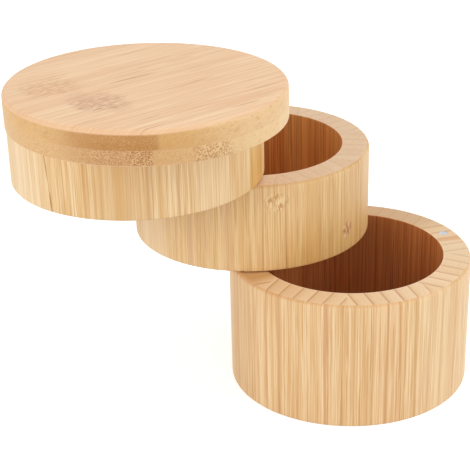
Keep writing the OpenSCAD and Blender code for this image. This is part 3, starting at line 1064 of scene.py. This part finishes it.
for level in ("bottom", "middle", "top"):
    low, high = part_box(f"{level}_floor")
    rows = disc_rows(FLOOR_RADIUS, low.z, high.z, 0.2 * MM, 0.2 * MM, rings=8)
    piece = closed_stack(f"{level}_floor_disc", turned_loops(rows, level_centre(level), 144))
    finish_piece(piece, FLOORS[level], level, f"{level}_floor")

# %% [markdown]
# ## Magnets, washers, insert and rod
# The magnets are nickel-plated discs let into rims and feet. Nylon washers let the levels glide, a brass insert
# with a thread sits in the lid, and the steel rod screws into it. Metal gets its look from a high metallic
# value, a roughness that varies in fine rings as a lathe leaves them, and a faint bump from the same rings.

# %% Finishes for metal and nylon
def turned_metal(name, colour, smudge, ring_width, rough):
    """Metal with fine rings: noise of (distance from the pivot line, height), each over a tool mark's width."""
    material, shader = new_finish(name, Metallic=1.0)
    coordinates = put("TexCoord").outputs["Object"]
    x, y, z = put("SeparateXYZ", {"Vector": coordinates}).outputs
    from_pivot = calc("SQRT", squares(minus(x, PIVOT[0]), y))
    rings = along(over(from_pivot, ring_width), 0.0, over(z, ring_width))
    rings = cloud(rings, detail=3.0)
    haze = cloud(coordinates, scale=400.0, detail=3.0)
    tinted = tint(fade(haze, 0.35, 0.75), colour, smudge)
    roughness = fade(times_plus(haze, 0.5, rings), 0.5, 1.0, *rough)
    coat(shader, tinted, roughness, rings, 0.15, 0.02 * MM)
    return material


def moulded_nylon(name, colour, shade):
    """Slightly cloudy white plastic with a fine moulded skin."""
    material, shader = new_finish(name, Specular_IOR_Level=0.4)
    coordinates = put("TexCoord").outputs["Object"]
    mottle = cloud(coordinates, scale=900.0, detail=4.0)
    cloudy = tint(fade(mottle, 0.35, 0.7), colour, shade)
    coat(shader, cloudy, fade(mottle, 0.3, 0.7, 0.35, 0.5), mottle, 0.1, 0.02 * MM)
    return material


nickel = turned_metal("nickel_plate", *shades((214, 218, 222), (190, 196, 202)), 0.12 * MM, (0.18, 0.4))
steel = turned_metal("turned_steel", *shades((176, 178, 180), (150, 152, 156)), 0.10 * MM, (0.2, 0.42))
brass = turned_metal("turned_brass", *shades((214, 178, 104), (188, 150, 84)), 0.10 * MM, (0.22, 0.45))
nylon = moulded_nylon("washer_nylon", *shades((236, 232, 222), (222, 217, 204)))

# %% Magnets and washers
MAGNETS = {"bottom_rim_magnet": ("bottom", "rim"), "middle_foot_magnet": ("middle", "foot"),
           "middle_rim_magnet": ("middle", "rim"), "top_foot_magnet": ("top", "foot"),
           "top_rim_magnet": ("top", "rim"), "lid_magnet": ("lid", "foot")}
WASHER_HOLE, WASHER_RADIUS = 2.6 * MM, 4.5 * MM

for node, (level, spot) in MAGNETS.items():
    low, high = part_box(node)
    rows = disc_rows((high.x - low.x) / 2, low.z, high.z, 0.15 * MM, 0.15 * MM, rings=2)
    piece = closed_stack(f"{level}_{spot}_disc_magnet", turned_loops(rows, magnet_place(level), 48))
    finish_piece(piece, nickel, level, node)
for level in ("bottom", "middle", "top"):
    low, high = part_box(f"{level}_washer")
    rows = ring_rows(WASHER_HOLE, WASHER_RADIUS, low.z, high.z, 0.1 * MM)
    piece = closed_stack(f"{level}_glide_washer", turned_loops(rows, PIVOT, 72), through=True)
    finish_piece(piece, nylon, level, f"{level}_washer")

# %% [markdown]
# The insert is pressed into the lid, so straight ridges on its outside stop it from turning. The rod screws
# into it from below, with a hexagon socket in its head. Ridges and thread are a ripple added to the
# profile's radius.

# %% Insert with a knurl
INSERT_BORE = 2.52 * MM
RIDGES, RIDGE_DEPTH = 24, 0.12 * MM


def knurl(angle, z):
    """Straight ridges: a radius less by half the depth times (1 + cosine of the angle times their number)."""
    return -RIDGE_DEPTH * (0.5 + 0.5 * np.cos(RIDGES * angle))


low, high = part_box("lid_insert")
outside = [(INSERT_POCKET, z) for z in np.linspace(high.z, low.z, 9)]
insert_loops = turned_loops(outside, PIVOT, 144, knurl)
bore = turned_loops([(INSERT_BORE, z) for z in (low.z, (low.z + high.z) / 2, high.z)], PIVOT, 144)
insert = closed_stack("threaded_insert", np.concatenate([insert_loops, bore]), through=True)
finish_piece(insert, brass, "lid", "lid_insert")

# %% Rod with a thread and a hexagon socket
PITCH, THREAD_DEPTH = 0.8 * MM, 0.32 * MM
THREAD_START = LID_LOWER[0].z
ROD_RADIUS, HEAD_RADIUS, HEAD_HEIGHT = 2.5 * MM, 4.25 * MM, 2.8 * MM
SOCKET_RADIUS, SOCKET_DEPTH = 1.732 * MM, 1.6 * MM
HEAD_EASE, NECK_EASE = 0.4 * MM, 0.1 * MM


def thread(angle, z):
    """Screw thread: a triangle wave of height over pitch less angle over a turn, growing from its start."""
    phase = (z / PITCH - angle / (2 * pi)) % 1
    depth = THREAD_DEPTH * (1 - np.abs(2 * phase - 1))
    return -depth * np.clip((z - THREAD_START) / PITCH, 0, 1)


def hexagon(angle):
    """Distance from the middle to the side of a hexagon at an angle, for a corner distance of 1."""
    return cos(pi / 6) / np.cos((angle % (pi / 3)) - pi / 6)


low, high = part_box("pivot_rod")
head_top, socket_top = low.z + HEAD_HEIGHT, low.z + SOCKET_DEPTH
socket_rows = [(0, socket_top), (SOCKET_RADIUS, socket_top), (SOCKET_RADIUS, low.z)]
socket = turned_loops(socket_rows, (0, 0))
socket[..., :2] *= hexagon(np.linspace(0, 2 * pi, socket.shape[1], endpoint=False))[:, None]
socket[..., :2] += PIVOT
inward, down = easing()
head = [(HEAD_RADIUS - HEAD_EASE * i, low.z + HEAD_EASE * d) for i, d in zip(inward, down)]
head += [(HEAD_RADIUS - NECK_EASE * i, head_top - NECK_EASE * d) for i, d in zip(inward[::-1], down[::-1])]
shank = [(ROD_RADIUS, z) for z in np.linspace(head_top, THREAD_START, 12)]
threaded = [(ROD_RADIUS, z) for z in np.linspace(THREAD_START + 0.1 * MM, high.z - 0.4 * MM, 66)]
end = [(ROD_RADIUS - 0.6 * MM, high.z), (0, high.z)]
rod_loops = [socket, turned_loops(head + shank, PIVOT), turned_loops(threaded, PIVOT, ripple=thread),
             turned_loops(end, PIVOT)]
rod = closed_stack("pivot_rod_turned", np.concatenate(rod_loops))
finish_piece(rod, steel, "lid", "pivot_rod")
